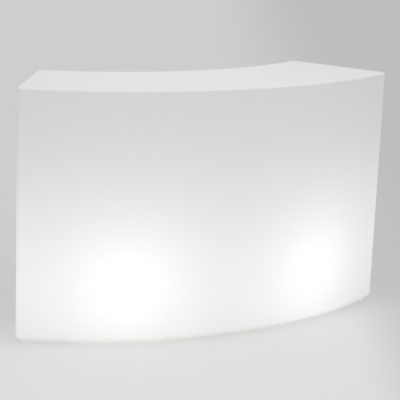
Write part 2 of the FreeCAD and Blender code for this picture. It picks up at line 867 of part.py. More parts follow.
def lamp_bracket(name):
    """A folded steel strap: two feet on the cover, two legs, and a table for the holder."""
    body = new_body(name)
    strap = "Sizes.strap_thickness"
    reach = "Sizes.bracket_reach"
    leg = "Sizes.bracket_leg"
    high = "Sizes.bracket_height"
    side = sketch_on(body, "XZ_Plane")
    outer_leg = "(%s + %s)" % (leg, strap)
    under_table = "%s - %s" % (high, strap)
    outline(side, (
        ("-" + reach, "0"),
        ("-" + leg, "0"),
        ("-" + leg, under_table),
        (leg, under_table),
        (leg, "0"),
        (reach, "0"),
        (reach, strap),
        (outer_leg, strap),
        (outer_leg, high),
        ("-" + outer_leg, high),
        ("-" + outer_leg, strap),
        ("-" + reach, strap),
    ))
    pad(body, side, "Sizes.bracket_width").Midplane = True

    def holes(sketch):
        circle(sketch, "Sizes.bracket_screw", "0", "Sizes.bolt_hole")
        circle(sketch, "-Sizes.bracket_screw", "0", "Sizes.bolt_hole")
        circle(sketch, "0", "0", "Sizes.nipple_radius")

    pocket(body, sketch_on(body, "XY_Plane"), holes, both_ways=True)
    return body


def holder_nipple(name):
    """A hollow threaded bolt that holds the lamp holder on the bracket, head below its table."""
    outside = "Sizes.nipple_radius"
    bore = "Sizes.nipple_bore"
    low = "-Sizes.strap_thickness"
    top = "Sizes.block_low"
    body = turned(name, (bore, low), (outside, low), (outside, top), (bore, top))
    head = sketch_on(body, "XY_Plane", low + " - Sizes.nipple_head")
    hexagon(head, "Sizes.nipple_spanner")
    circle(head, "0", "0", bore)
    pad(body, head, "Sizes.nipple_head")
    return body


def holder_body(name):
    """The lamp holder's moulded shell, waisted below and open above."""
    skirt = "Sizes.holder_skirt"
    high = "Sizes.holder_height"
    edge = "Sizes.holder_round"
    hole = "Sizes.nipple_radius"
    return turned(
        name,
        (hole, "0"),
        ("Sizes.holder_foot", "0"),
        ("Sizes.holder_waist", "Sizes.waist_level"),
        (skirt, "Sizes.skirt_level"),
        (skirt, "%s - %s" % (high, edge), edge),
        ("%s - %s" % (skirt, edge), high),
        (HOLDER_BORE, high),
        (HOLDER_BORE, "Sizes.holder_floor"),
        (hole, "Sizes.holder_floor"),
    )


def holder_thread(name):
    """The brass ring that takes the bulb's screw cap."""
    body = new_body(name)
    ring = sketch_on(body, "XY_Plane")
    circle(ring, "0", "0", HOLDER_BORE)
    circle(ring, "0", "0", "Sizes.cap_radius + Sizes.cap_play")
    pad(body, ring, "Sizes.thread_height")
    return body


def holder_block(name):
    """The ceramic block inside the holder, standing on the nipple's end."""
    rivet = "Sizes.rivet_radius"
    return turned(
        name,
        (rivet, "Sizes.block_low"),
        (HOLDER_BORE, "Sizes.block_low"),
        (HOLDER_BORE, "Sizes.block_top"),
        (rivet, "Sizes.block_top"),
    )


def holder_contact(name):
    """The middle contact, riveted into the block and reaching up to the bulb."""
    rivet = "Sizes.rivet_radius"
    foot = "Sizes.block_low + Sizes.rivet_recess"
    return turned(
        name,
        ("0", foot),
        (rivet, foot),
        (rivet, "Sizes.block_top"),
        ("Sizes.contact_radius", "Sizes.block_top"),
        ("Sizes.contact_radius", "Sizes.contact_top"),
        ("0", "Sizes.contact_top"),
    )


def bulb_cap(name):
    """A screw cap with its contact button."""
    radius = "Sizes.cap_radius"
    button = "Sizes.contact_radius"
    return turned(
        name,
        ("0", "0"),
        (button + " - Sizes.button_round", "0"),
        (button, "Sizes.button_height"),
        ("Sizes.glass_radius", "Sizes.glass_level"),
        (radius, "Sizes.cap_shoulder"),
        (radius, "Sizes.cap_height"),
        ("0", "Sizes.cap_height"),
    )


def bulb_base(name):
    """The bulb's plastic neck, from the cap up to the globe."""
    low = CAP_LOW + " + Sizes.cap_height"
    skirt = "Sizes.neck_skirt"
    return turned(
        name,
        ("0", low),
        (skirt, low),
        (skirt, low + " + Sizes.neck_skirt_height"),
        ("Sizes.neck_radius", NECK_LEVEL),
        ("0", NECK_LEVEL),
    )


def bulb_globe(name):
    """An opal globe, open where the neck closes it."""
    radius = "Sizes.bulb_radius"
    inner = "(Sizes.bulb_radius - Sizes.bulb_wall)"
    neck = "(Sizes.neck_radius - Sizes.bulb_wall)"
    middle = "Sizes.bulb_level"
    return turned(
        name,
        ("Sizes.neck_radius", NECK_LEVEL, radius),
        (radius, middle, radius),
        ("0", "%s + %s" % (middle, radius)),
        ("0", "%s + %s" % (middle, inner), "-" + inner),
        (inner, middle, "-" + inner),
        (neck, NECK_LEVEL),
    )


def gland_body(name):
    """An M16 cable gland: collar under the cover, spigots above and below, stepped bore."""
    radius = "Sizes.gland_radius"
    seat = "Sizes.seal_radius + Sizes.seal_play"
    step = "Sizes.seal_length - Sizes.gland_low - Sizes.seal_proud"
    body = turned(
        name,
        ("Sizes.gland_bore", step),
        (seat, step),
        (seat, "-Sizes.gland_low"),
        (radius, "-Sizes.gland_low"),
        (radius, "Sizes.gland_top"),
        ("Sizes.gland_bore", "Sizes.gland_top"),
    )
    collar = sketch_on(body, "XY_Plane", "-Sizes.collar_height")
    hexagon(collar, "Sizes.gland_spanner")
    circle(collar, "0", "0", "Sizes.gland_radius - Sizes.collar_overlap")
    pad(body, collar, "Sizes.collar_height")
    return body


def gland_nut(name):
    """The lock nut on the dry side of the cover."""
    body = new_body(name)
    nut = sketch_on(body, "XY_Plane", "Sizes.cover_thickness")
    hexagon(nut, "Sizes.gland_spanner")
    circle(nut, "0", "0", "Sizes.gland_radius")
    pad(body, nut, "Sizes.nut_height")
    return body


def gland_seal(name):
    """The rubber sleeve that grips the cable, or its stopper."""
    body = new_body(name)
    sleeve = sketch_on(body, "XY_Plane", "-Sizes.gland_low - Sizes.seal_proud")
    circle(sleeve, "0", "0", "Sizes.seal_radius")
    circle(sleeve, "0", "0", "Sizes.stopper_radius")
    pad(body, sleeve, "Sizes.seal_length")
    return body


def gland_dome(name):
    """The domed nut that closes the seal round the cable, with a hexagon at its upper end."""
    radius = "Sizes.gland_radius"
    outside = radius + " + Sizes.dome_wall"
    mouth = "Sizes.gland_bore"
    upper = "-(Sizes.collar_height + Sizes.dome_gap)"
    shoulder = "-(Sizes.gland_low + Sizes.dome_play)"
    nose = "-(Sizes.gland_low + Sizes.dome_length)"
    body = turned(
        name,
        (radius, upper),
        (radius, shoulder),
        ("Sizes.seal_radius + 2 * Sizes.seal_play", shoulder + " - Sizes.dome_step"),
        (mouth, shoulder + " - Sizes.dome_cone"),
        (mouth, nose),
        (mouth + " + Sizes.dome_lip", nose, "Sizes.dome_round"),
        (outside, shoulder),
        (outside, upper),
    )
    grip = sketch_on(body, "XY_Plane", upper + " - Sizes.dome_spanner_height")
    hexagon(grip, "Sizes.gland_spanner")
    circle(grip, "0", "0", radius)
    pad(body, grip, "Sizes.dome_spanner_height")
    return body


def gland_stopper(name):
    """A headed plug that keeps the gland shut until a cable takes its place."""
    radius = "Sizes.stopper_radius"
    nose = "-(Sizes.gland_low + Sizes.dome_length)"
    head = "Sizes.stopper_head"
    edge = "Sizes.stopper_round"
    face = nose + " - Sizes.stopper_head_height"
    sleeve_top = "Sizes.seal_length - Sizes.gland_low"
    return turned(
        name,
        ("0", face),
        ("%s - %s" % (head, edge), face, edge),
        (head, "%s + %s" % (face, edge)),
        (head, nose),
        (radius, nose),
        (radius, sleeve_top + " - Sizes.stopper_end"),
        ("0", sleeve_top + " - Sizes.stopper_tip"),
    )


def lamp(side):
    """One lamp with all its pieces, on the left or the right."""
    angle = "-Sizes.lamp_angle" if side == "left" else "Sizes.lamp_angle"

    def stand(piece, level):
        return on_arc(piece, "Sizes.lamp_radius", angle, level)

    def off_axis(piece, across, back, level):
        stand(piece, level)
        x = "Sizes.lamp_radius * sin(%s) + %s" % (angle, across)
        y = "Sizes.arc_centre - Sizes.lamp_radius * cos(%s) + %s" % (angle, back)
        return bind(piece, x=x, y=y)

    def add(piece, label):
        node(piece, "%s_%s" % (side, label))

    add(stand(lamp_cover(side + "_cover"), COVER_LOW), "lamp_cover")
    add(stand(cover_gasket(side + "_gasket"), COVER_TOP), "cover_gasket")
    screws = []
    inserts = []
    for number in range(4):
        across = "Sizes.screw_circle * cos(%d)" % (45 + 90 * number)
        back = "Sizes.screw_circle * sin(%d)" % (45 + 90 * number)
        name = "%s_screw_%d" % (side, number)
        screw = pan_screw(name, "Sizes.screw_radius", "Sizes.screw_length")
        screws.append(off_axis(screw, across, back, COVER_LOW))
        insert = cover_insert("%s_insert_%d" % (side, number))
        inserts.append(off_axis(insert, across, back, "Sizes.well_ceiling"))
    add(group(side + "_screws", screws), "cover_screws")
    add(group(side + "_inserts", inserts), "cover_inserts")
    add(stand(lamp_bracket(side + "_bracket"), COVER_TOP), "lamp_bracket")
    bolts = []
    for number, across in enumerate(("-Sizes.bracket_screw", "Sizes.bracket_screw")):
        name = "%s_bolt_%d" % (side, number)
        bolt = pan_screw(name, "Sizes.bolt_radius", "Sizes.bolt_length")
        bolts.append(off_axis(bolt, across, "0", COVER_LOW))
    add(group(side + "_bolts", bolts), "bracket_screws")
    add(stand(holder_nipple(side + "_nipple"), HOLDER_LOW), "holder_nipple")
    add(stand(holder_body(side + "_holder"), HOLDER_LOW), "holder_body")
    add(stand(holder_thread(side + "_thread"), HOLDER_LOW + " + Sizes.thread_level"), "holder_thread")
    add(stand(holder_block(side + "_block"), HOLDER_LOW), "holder_block")
    add(stand(holder_contact(side + "_contact"), HOLDER_LOW), "holder_contact")
    add(stand(bulb_cap(side + "_cap"), CAP_LOW), "bulb_cap")
    add(stand(bulb_base(side + "_base"), "0"), "bulb_base")
    add(stand(bulb_globe(side + "_globe"), "0"), "bulb_globe")
    for build, label in (
        (gland_body, "gland_body"),
        (gland_nut, "gland_nut"),
        (gland_seal, "gland_seal"),
        (gland_dome, "gland_dome"),
        (gland_stopper, "gland_stopper"),
    ):
        add(off_axis(build("%s_%s" % (side, label)), "0", "Sizes.gland_offset", COVER_LOW), label)


for side in ("left", "right"):
    lamp(side)


# ---- Check and write ---------------------------------------------------------------------------

document.recompute()
for item in document.Objects:
    if "Invalid" in item.State or "Error" in item.State:
        raise ValueError("%s did not build: %s" % (item.Label, item.State))
os.makedirs("parts", exist_ok=True)
for piece in nodes:
    if piece.Shape.isNull() or not piece.Shape.isValid():
        raise ValueError(piece.Label + " has no valid shape")
for piece in nodes:
    piece.Shape.exportStep("parts/%s.step" % piece.Label)
    print("%-24s %12.1f mm3  %3d faces" % (piece.Label, piece.Shape.Volume, len(piece.Shape.Faces)))
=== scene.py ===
import math

import bmesh
import bpy
import numpy as np
from mathutils import Matrix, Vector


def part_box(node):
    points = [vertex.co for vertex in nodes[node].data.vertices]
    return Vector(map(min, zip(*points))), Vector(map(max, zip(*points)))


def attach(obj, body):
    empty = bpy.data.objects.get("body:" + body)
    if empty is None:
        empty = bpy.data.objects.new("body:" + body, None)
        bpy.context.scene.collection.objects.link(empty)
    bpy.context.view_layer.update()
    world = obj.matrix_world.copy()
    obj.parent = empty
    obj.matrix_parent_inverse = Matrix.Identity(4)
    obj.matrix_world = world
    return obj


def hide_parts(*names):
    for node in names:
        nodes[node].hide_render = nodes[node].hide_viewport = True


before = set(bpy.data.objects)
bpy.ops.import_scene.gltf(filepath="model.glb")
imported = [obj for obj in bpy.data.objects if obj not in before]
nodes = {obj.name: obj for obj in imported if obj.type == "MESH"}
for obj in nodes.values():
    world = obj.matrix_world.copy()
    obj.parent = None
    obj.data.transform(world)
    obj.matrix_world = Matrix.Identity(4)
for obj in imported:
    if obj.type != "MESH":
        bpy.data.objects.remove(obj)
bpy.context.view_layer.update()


# ---- Viewpoint ---------------------------------------------------------------------------------
# A long lens about 6 m away, to the left of the customers' side and a little above the worktop. It
# is turned slightly about its own line of sight.

VIEW_PLACE = (-2.67156, -5.29692, 2.03275)
VIEW_AZIMUTH = math.radians(-26.79)
VIEW_ELEVATION = math.radians(14.15)
VIEW_ROLL = math.radians(2.18)
LENS = 122.1
SENSOR = 36
SIGHT = 200
camera = bpy.data.objects.new("viewpoint", bpy.data.cameras.new("viewpoint"))
camera.data.sensor_width = SENSOR
camera.data.lens = LENS
camera.data.clip_end = SIGHT
camera.matrix_world = (
    Matrix.Translation(VIEW_PLACE)
    @ Matrix.Rotation(VIEW_AZIMUTH, 4, "Z")
    @ Matrix.Rotation(math.radians(90) - VIEW_ELEVATION, 4, "X")
    @ Matrix.Rotation(VIEW_ROLL, 4, "Z")
)
bpy.context.scene.collection.objects.link(camera)
bpy.context.scene.camera = camera


# ---- Studio ------------------------------------------------------------------------------------
# A pale seamless floor under an even white sky. Two broad soft lamps stand left and right on the
# customers' side, and a small one hangs over the worktop. Shade is painted on the floor: it turns
# grey behind the counter and darker to its right, and these tones run into each other far from it.


class Wire:
    """One output of a material's nodes. Arithmetic on it adds Math nodes to the same material."""

    def __init__(self, socket):
        self.socket = socket

    def node(self, kind, settings, sockets, output=0):
        """Add a node of this kind: its settings first, then a number, colour or wire for each socket."""
        tree = self.socket.id_data
        made = tree.nodes.new("ShaderNode" + kind)
        for name, setting in settings.items():
            setattr(made, name, setting)
        for name, value in sockets.items():
            if isinstance(value, Wire):
                tree.links.new(value.socket, made.inputs[name])
            else:
                made.inputs[name].default_value = value
        return Wire(made.outputs[output])

    def math(self, operation, other=0.0):
        """A Math node of this and another number or wire."""
        return self.node("Math", {"operation": operation}, {0: self, 1: other})

    def __add__(self, other):
        return self.math("ADD", other)

    def __mul__(self, other):
        return self.math("MULTIPLY", other)

    def __pow__(self, other):
        return self.math("POWER", other)

    def __truediv__(self, other):
        return self.math("DIVIDE", other)

    def __sub__(self, other):
        return self.math("SUBTRACT", other)

    def __rsub__(self, other):
        return self.node("Math", {"operation": "SUBTRACT"}, {0: other, 1: self})

    __radd__ = __add__
    __rmul__ = __mul__

    def step(self, low, high):
        """0 below low, 1 above high and a smooth rise between, or the other way round if low > high."""
        if low > high:
            return 1 - self.step(high, low)
        bounds = {"Value": self, "From Min": low, "From Max": high}
        return self.node("MapRange", {"interpolation_type": "SMOOTHSTEP"}, bounds)

    def between(self, low, high):
        """The number low where this is 0, and high where it is 1."""
        return self * (high - low) + low

    def colours(self, low, high):
        """The colour low where this is 0, and high where it is 1."""
        return self.node("Mix", {"data_type": "RGBA"}, {0: self, 6: low, 7: high}, output=2)

    def axes(self):
        """The x, y and z of a vector."""
        x = self.node("SeparateXYZ", {}, {0: self})
        return x, Wire(x.socket.node.outputs[1]), Wire(x.socket.node.outputs[2])

    def noise(self, scale, detail=2.0):
        """Soft random values round 0.5, scale of them to the metre, or so many along x, y and z."""
        if isinstance(scale, tuple):
            return self.node("Mapping", {}, {"Vector": self, "Scale": scale}).noise(1.0, detail)
        return self.node("TexNoise", {}, {"Vector": self, "Scale": scale, "Detail": detail})

    def bump(self, depth, under=None):
        """A normal from this height, depth metres high where it is 1, on top of the one under it."""
        sockets = {"Height": self, "Distance": depth}
        if under:
            sockets["Normal"] = under
        return self.node("Bump", {}, sockets)

    def drives(self, name):
        """Feed this to the material's own shader."""
        tree = self.socket.id_data
        tree.links.new(self.socket, tree.nodes["Principled BSDF"].inputs[name])


def new_material(name, **fixed):
    """A material with fixed numbers on its shader's sockets, and the wire of its Object coordinates."""
    material = bpy.data.materials.new(name)
    material.use_nodes = True
    tree = material.node_tree
    for socket, value in fixed.items():
        tree.nodes["Principled BSDF"].inputs[socket.replace("_", " ")].default_value = value
    return material, Wire(tree.nodes.new("ShaderNodeTexCoord").outputs["Object"])


BLACK = (0, 0, 0, 1)
FLOOR_HALF = 60.0
FLOOR_COLOUR = (0.75, 0.75, 0.74, 1)
FLOOR_PAINTED_SHADE = (0.575, 0.575, 0.565, 1)
FLOOR_TO_THE_EYE = (0.11, 0.11, 0.11, 1)
SHADED_GREY_LEFT = (0.625, 0.625, 0.625, 1)
SHADED_GREY_RIGHT = (0.49, 0.475, 0.48, 1)
GREY_CHANGES = (0.1, 1.6)
RIGHTWARDS = (0.896, -0.442)
AWAY = (0.108, 0.994)
PAINTED_SHADE_FROM = 0.825
PAINTED_SHADE_BLUR = 0.175
GREY_FROM = -0.06
GREY_BLUR = 0.30
FAR_SQUARED = (1.6, 12.0)
FAR_BLUR = 2.5
floor_corners = [(x * FLOOR_HALF, y * FLOOR_HALF, 0) for x, y in ((-1, -1), (1, -1), (1, 1), (-1, 1))]
floor_mesh = bpy.data.meshes.new("studio_floor")
floor_mesh.from_pydata(floor_corners, [], [(0, 1, 2, 3)])
floor = bpy.data.objects.new("studio_floor", floor_mesh)
floor_paint, place = new_material("studio_floor", Roughness=0.75, Emission_Strength=1.0)
floor_mesh.materials.append(floor_paint)
across, back = place.axes()[:2]
rightwards = across * RIGHTWARDS[0] + back * RIGHTWARDS[1]
away = across * AWAY[0] + back * AWAY[1]
far_blur = (across * across + back * back).step(*FAR_SQUARED) * FAR_BLUR


def past(distance, edge, blur):
    """0 before an edge on the floor and 1 past it, from blur metres before it to as many past it. The
    blur grows with the distance from the counter."""
    return ((distance - edge) / (far_blur + blur)).step(-1, 1)


def seen(wire):
    """1 for rays that show a surface to the eye, straight, reflected or through glass, and else 0."""
    straight = wire.node("LightPath", {}, {})
    rays = straight.socket.node.outputs
    return straight + Wire(rays["Is Glossy Ray"]) + Wire(rays["Is Transmission Ray"])


# Painted shade: the near floor darker to the right, and grey behind the counter, darker again to the
# right.
near = past(rightwards, PAINTED_SHADE_FROM, PAINTED_SHADE_BLUR).colours(FLOOR_COLOUR, FLOOR_PAINTED_SHADE)
grey = rightwards.step(*GREY_CHANGES).colours(SHADED_GREY_LEFT, SHADED_GREY_RIGHT)
past(away, GREY_FROM, GREY_BLUR).colours(near, grey).drives("Base Color")
seen(place).colours(BLACK, FLOOR_TO_THE_EYE).drives("Emission Color")
bpy.context.scene.collection.objects.link(floor)

SKY = (0.715, 0.715, 0.715, 1)
world = bpy.data.worlds.new("studio_sky")
world.use_nodes = True
world.node_tree.nodes["Background"].inputs["Color"].default_value = SKY
bpy.context.scene.world = world


def lamp(name, kind, power, elevation, azimuth, **settings):
    """A studio lamp that shines from this elevation and azimuth, in degrees, towards the counter."""
    light = bpy.data.lights.new(name, kind)
    light.energy = power
    for setting, value in settings.items():
        setattr(light, setting, value)
    made = bpy.data.objects.new(name, light)
    made.rotation_euler = (math.radians(90 - elevation), 0, math.radians(azimuth))
    bpy.context.scene.collection.objects.link(made)
    return made


KEY_SPREAD = math.radians(60)
TOP_BOX_PLACE = (-0.15, -0.1, 2.5)
lamp("left_key", "SUN", power=0.14, elevation=30, azimuth=-45, angle=KEY_SPREAD)
lamp("right_key", "SUN", power=0.27, elevation=30, azimuth=35, angle=KEY_SPREAD)
lamp("top_box", "AREA", power=2.5, elevation=90, azimuth=0, size=1.2).location = TOP_BOX_PLACE
bpy.context.scene.view_settings.view_transform = "Standard"


# ---- Counter shell -----------------------------------------------------------------------------
# The counter itself: one hollow moulding of translucent white polyethylene, 6 mm thick, made by
# turning powder in a heated mould. Its skin is satin with the fine grain of the mould. The light of
# the two lamps in the hollow is painted into its emission colour: soft bright patches, painted light
# that the end walls throw back, painted shade towards the foot and in the bays, and a painted glow
# on the underside that lights the floor under its edge.

HALF_ARC = math.radians(30)
# The numbers below set the painted light and shade in the skin's emission colour.
PAINTED_GLOW_COLOUR = (1, 1, 0.985, 1)
GLOW_REACH = 0.3275
GLOW_FALL = 1.207
LAMP_AT = 15
PAINTED_LAMP_GLOW = 0.51
END_AT = 45
PAINTED_LEFT_END_GLOW = 0.57
PAINTED_RIGHT_END_GLOW = 0.55
END_GLOW_FADES = (0.60, 1.05)
END_GLOW_LOSS = 0.8
PAINTED_FOOT_SHADE = (0.94, 1.0)
FOOT_SHADE_LEVELS = (0.03, 0.12)
PAINTED_BAY_GLOW = 0.13
PAINTED_BAY_SHADE = 0.68
BAY_REAR_RADII = (1.67, 1.645)
BAY_MOUTH_RADII = (1.30, 1.36)
BAY_END_DEPTHS = (0.01, 0.035)
BAY_FOOT_LEVELS = (0.06, 0.12)
BAY_HEAD_LEVELS = (1.06, 1.0)
PAINTED_UNDERSIDE_GLOW = 0.2
UNDERSIDE_LEVELS = (0.03, 0.02)
UNDERSIDE_FACING = (-0.93, -1.0)
PAINTED_RIGHT_UNDERSIDE_GLOW = 0.3
RIGHT_UNDERSIDE = (0.35, 0.85)
POWDER_GREY = (0.843, 0.863, 0.851, 1)
POWDER_WHITE = (0.865, 0.883, 0.869, 1)
POWDER_CLOUDS = 3.0
SKIN_ROUGHNESS = (0.36, 0.50)
SKIN_HOLLOWS = 7.0
SKIN_HOLLOW_DEPTH = 0.0015
SKIN_PEEL = 140.0
SKIN_PEEL_DEPTH = 0.00025
MOULD_GRAIN = 1100.0
MOULD_GRAIN_DEPTH = 0.00006
shell_skin, place = new_material("moulded_polyethylene", IOR=1.5, Emission_Strength=1.0)
low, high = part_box("right_bulb_globe")
bulb = (low + high) / 2
arc_centre = bulb.y + bulb.x / math.tan(math.radians(LAMP_AT))
bulb_arc = bulb.x / math.sin(math.radians(LAMP_AT))
across, back, up = place.axes()


def glow_of(angle, strength):
    """Painted light for the skin, from a source at this angle on the bulbs' arc: its strength times e to
    the power of minus x, where x is the distance in reaches of the glow, to the power of its fall."""
    turn = math.radians(angle)
    source = (bulb_arc * math.sin(turn), arc_centre - bulb_arc * math.cos(turn), bulb.z)
    distance = place.node("VectorMath", {"operation": "DISTANCE"}, {0: place, 1: source}, output=1)
    return ((distance / GLOW_REACH) ** GLOW_FALL * -1).math("EXPONENT") * strength


def finished(names, material):
    """Give these pieces of the counter this material in place of the plain one."""
    for name in names:
        nodes[name].data.materials.clear()
        nodes[name].data.materials.append(material)


# Painted light: the two lamps' bright patches, and two sources past the ends for the light that the end
# walls throw back, fading higher up.
painted_bulbs_glow = glow_of(-LAMP_AT, PAINTED_LAMP_GLOW) + glow_of(LAMP_AT, PAINTED_LAMP_GLOW)
painted_ends_glow = glow_of(-END_AT, PAINTED_LEFT_END_GLOW) + glow_of(END_AT, PAINTED_RIGHT_END_GLOW)
painted_ends_glow = painted_ends_glow * (1 - up.step(*END_GLOW_FADES) * END_GLOW_LOSS)
# Painted shade: the glow dims towards the foot.
painted_foot_shade = up.step(*FOOT_SHADE_LEVELS).between(*PAINTED_FOOT_SHADE)
from_axis = (across * across + (back - arc_centre) * (back - arc_centre)) ** 0.5
from_end = (arc_centre - back) * math.sin(HALF_ARC) - across.math("ABSOLUTE") * math.cos(HALF_ARC)
# Painted shade and light in the bays: the lamps' glow is dimmed there, and an even painted glow is added
# that lights the shelves.
in_bays = from_axis.step(*BAY_REAR_RADII) * from_axis.step(*BAY_MOUTH_RADII)
in_bays = in_bays * from_end.step(*BAY_END_DEPTHS)
in_bays = in_bays * up.step(*BAY_FOOT_LEVELS) * up.step(*BAY_HEAD_LEVELS)
# Painted glow on the skin that faces down at the foot, stronger towards the right end, which lights the
# floor under the edge.
facing = place.node("NewGeometry", {}, {}, output=1).axes()[2] * up.step(*UNDERSIDE_LEVELS)
painted_underside_glow = across.step(*RIGHT_UNDERSIDE) * PAINTED_RIGHT_UNDERSIDE_GLOW + PAINTED_UNDERSIDE_GLOW
glow = (painted_bulbs_glow * (1 - in_bays * PAINTED_BAY_SHADE) + painted_ends_glow) * painted_foot_shade
glow = glow + in_bays * PAINTED_BAY_GLOW + facing.step(*UNDERSIDE_FACING) * painted_underside_glow
glow.colours(BLACK, PAINTED_GLOW_COLOUR).drives("Emission Color")
place.noise(POWDER_CLOUDS, detail=3.0).colours(POWDER_GREY, POWDER_WHITE).drives("Base Color")
peel = place.noise(SKIN_PEEL)
peel.between(*SKIN_ROUGHNESS).drives("Roughness")
hollows = place.noise(SKIN_HOLLOWS, detail=1.0).bump(SKIN_HOLLOW_DEPTH)
dimples = peel.bump(SKIN_PEEL_DEPTH, under=hollows)
place.noise(MOULD_GRAIN, detail=1.0).bump(MOULD_GRAIN_DEPTH, under=dimples).drives("Normal")
finished(["counter_shell"], shell_skin)


# ---- Shelves -----------------------------------------------------------------------------------
# Four boards of solid laminate, 10 mm thick: printed white sheets pressed on a dark core of resin and
# paper, which shows at the milled edges. They lie loose in the grooves of the bays.

FACE_SHEET = 0.0004
CORE_FROM = 0.0006
FACE_WHITE = (0.87, 0.875, 0.86, 1)
FACE_CLOUDED = (0.84, 0.845, 0.825, 1)
FACE_CLOUDS = 9.0
FACE_GRAIN = 1500.0
FACE_GRAIN_DEPTH = 0.00003
FACE_ROUGHNESS = 0.30
CLOUD_ROUGHNESS = 0.06
CORE_DARK = (0.020, 0.016, 0.014, 1)
CORE_BROWN = (0.075, 0.060, 0.050, 1)
CORE_SHEETS = (30, 30, 2600)
CORE_ROUGHNESS = 0.25
SLIDE_MARKS = (420, 9, 420)
SLIDE_MARKS_SHOW = (0.58, 0.70)
SLIDE_MARK_DEPTH = 0.00001
SLIDE_MARK_ROUGHNESS = 0.10
laminate, place = new_material("shelf_laminate", IOR=1.5)
low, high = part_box("shelf_left_lower")
thickness = high.z - low.z
level_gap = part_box("shelf_left_upper")[0].z - low.z
above_underside = (place.axes()[2] - low.z).math("MODULO", level_gap)
core = above_underside.step(FACE_SHEET, CORE_FROM)
core = core * above_underside.step(thickness - FACE_SHEET, thickness - CORE_FROM)
core_colour = place.noise(CORE_SHEETS).colours(CORE_DARK, CORE_BROWN)
cloud = place.noise(FACE_CLOUDS, detail=3.0)
core.colours(cloud.colours(FACE_CLOUDED, FACE_WHITE), core_colour).drives("Base Color")
marks = place.noise(SLIDE_MARKS, detail=3.0).step(*SLIDE_MARKS_SHOW)
rougher = core * CORE_ROUGHNESS + marks * SLIDE_MARK_ROUGHNESS + cloud * CLOUD_ROUGHNESS
(rougher + FACE_ROUGHNESS).drives("Roughness")
scratches = (marks * -1).bump(SLIDE_MARK_DEPTH)
place.noise(FACE_GRAIN, detail=1.0).bump(FACE_GRAIN_DEPTH, under=scratches).drives("Normal")
finished([name for name in nodes if name.startswith("shelf_")], laminate)


# ---- Foot pads ---------------------------------------------------------------------------------
# Six black nylon pads on the floor, injection moulded with a fine spark grain. Their rims are rubbed
# grey where the counter has been pushed about.

NYLON_BLACK = (0.022, 0.022, 0.023, 1)
NYLON_RUBBED = (0.085, 0.083, 0.080, 1)
NYLON_ROUGHNESS = 0.40
NYLON_CLOUDS = 90.0
NYLON_CLOUD_ROUGHNESS = 0.12
NYLON_GRAIN = 2600.0
NYLON_GRAIN_DEPTH = 0.00005
RUB_LEVELS = (0.005, 0.00225)
RUB_PATCHES = 300.0
RUB_UNEVEN = 0.004
RUB_ROUGHNESS = 0.22
nylon, place = new_material("foot_nylon", IOR=1.53)
patches = place.noise(RUB_PATCHES, detail=3.0)
rubbed = (place.axes()[2] + patches * RUB_UNEVEN).step(*RUB_LEVELS)
rubbed.colours(NYLON_BLACK, NYLON_RUBBED).drives("Base Color")
rougher = rubbed * RUB_ROUGHNESS + place.noise(NYLON_CLOUDS) * NYLON_CLOUD_ROUGHNESS
(rougher + NYLON_ROUGHNESS).drives("Roughness")
place.noise(NYLON_GRAIN, detail=1.0).bump(NYLON_GRAIN_DEPTH).drives("Normal")
finished([name for name in nodes if name.startswith("foot_pad_")], nylon)


# ---- Foot stems --------------------------------------------------------------------------------
# Six M10 screws, zinc plated: a collar snapped into the pad, a hexagon for the spanner, and a rolled
# thread of 1.5 mm pitch up into the insert in the moulding.

STEM_COLUMNS = 48
STEM_RADIUS = 0.005
STEM_THREAD_DEPTH = 0.00092
STEM_PITCH = 0.0015
STEM_TIP = 0.001
COLLAR_RADIUS = 0.007
COLLAR_TOP = 0.00795
COLLAR_EDGE = 0.0003
HEXAGON_LOW = 0.011
HEXAGON_TOP = 0.016
HEXAGON_FLATS = 0.014
HEXAGON_CORNER = math.radians(30)
HEXAGON_FACE = 0.97
THREAD_ROWS = 8
THREAD_FLANK = 1.7
THREAD_CREST = 0.25
SAME_POINT = 1e-7
NO_EDGE = 1e-8
SHARP_EDGE = math.radians(25)
ZINC_BLUE = (0.60, 0.61, 0.63, 1)
ZINC_YELLOW = (0.70, 0.69, 0.66, 1)
ZINC_TINTS = 120.0
ZINC_MATT = 700.0
ZINC_ROUGHNESS = (0.20, 0.45)
ZINC_GRAIN = 2200.0
ZINC_GRAIN_DEPTH = 0.00002


def around(columns):
    """The angles of that many columns, evenly spaced round a full turn."""
    return np.arange(columns) * 2 * np.pi / columns


def upright_axis(low, high):
    """The x and y of the middle of a box."""
    return (low.x + high.x) / 2, (low.y + high.y) / 2


def turned(axis, angles, *bands):
    """Points on rings about the upright line through axis. Each band is a radius and a level: numbers,
    one number for each angle, or whole rows of them. The rings run from the bottom over the outside to
    the top, and a point is (x + radius * cos(angle), y + radius * sin(angle), level)."""
    row = np.zeros((1, len(angles)))
    rings = [np.broadcast_arrays(radius, level, row)[:2] for radius, level in bands]
    radii, levels = (np.vstack(part) for part in zip(*rings))
    x = axis[0] + radii * np.cos(angles)
    y = axis[1] + radii * np.sin(angles)
    return np.stack([x, y, levels], axis=-1)


def hexagon_head(angles, flats, low, top):
    """The bands of a hexagon whose corners are turned off at both ends. Its edge lies at half the width
    across the flats, divided by the cosine of the angle from the middle of the nearest flat. A corner
    drops by the tangent of its cut for each metre that it stands out past the flats."""
    edge = flats / 2 / np.cos(angles % (np.pi / 3) - np.pi / 6)
    drop = (edge - flats / 2) * math.tan(HEXAGON_CORNER)
    face = flats / 2 * HEXAGON_FACE
    return (face, low), (edge, low + drop), (edge, top - drop), (face, top)


